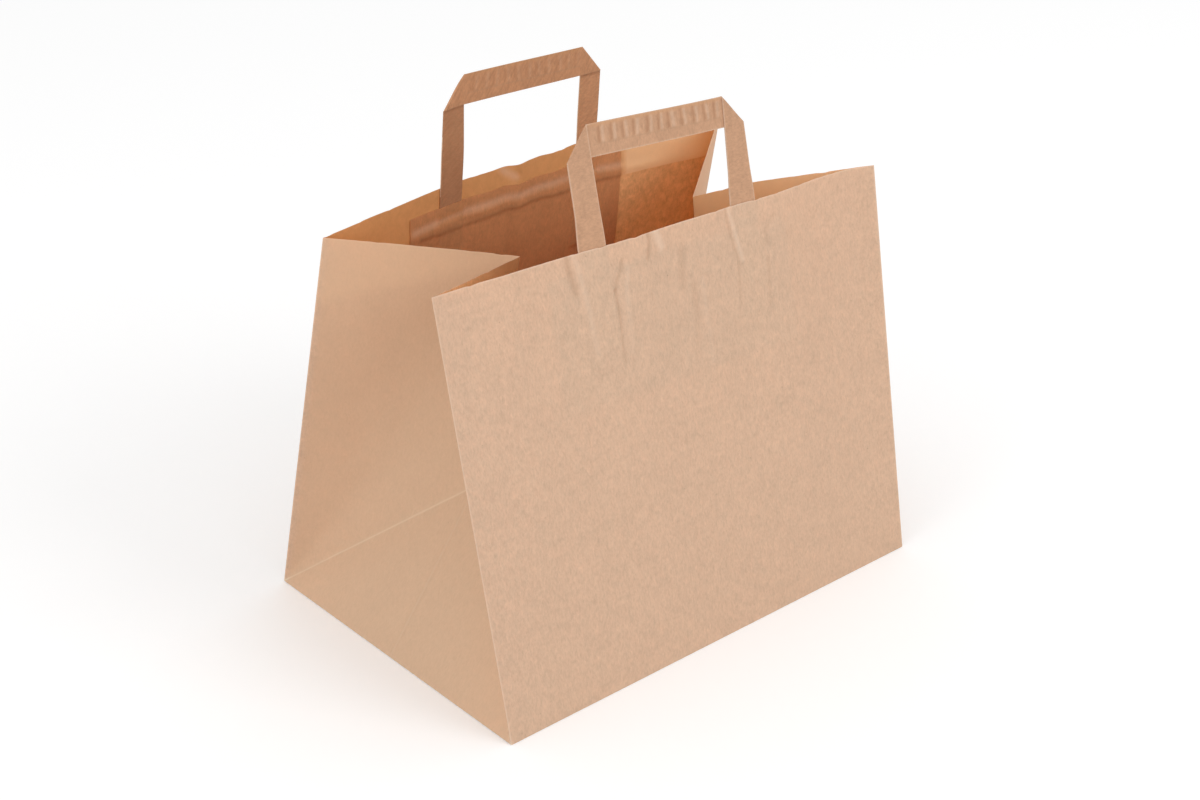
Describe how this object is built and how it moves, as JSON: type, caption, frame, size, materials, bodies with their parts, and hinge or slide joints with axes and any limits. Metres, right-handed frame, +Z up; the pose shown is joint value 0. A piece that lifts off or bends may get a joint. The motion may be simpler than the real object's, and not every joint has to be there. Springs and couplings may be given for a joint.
{
  "type": "paper carrier bag",
  "caption": "Open kraft paper carrier bag with a flat block base, inward-folded side gussets, and flat folded paper handles glued inside the mouth of its wide walls.",
  "frame": {"origin": "middle of the base, on the surface that the bag stands on", "axes": "+X along the wide walls, to the right as seen from the front; +Y from the front wall to the back wall, along the depth; +Z up out of the mouth"},
  "size_m": [0.3262, 0.22, 0.3048],
  "materials": {
    "kraft_paper": "matt uncoated kraft paper, thin enough to glow when lit from behind",
    "handle_paper": "matt uncoated kraft paper folded into a flat ribbon",
    "patch_paper": "matt uncoated kraft paper"
  },
  "bodies": {
    "root": {"bag_body": "kraft_paper", "front_handle": "handle_paper", "back_handle": "handle_paper", "front_handle_patch": "patch_paper", "back_handle_patch": "patch_paper"}
  },
  "joints": []
}
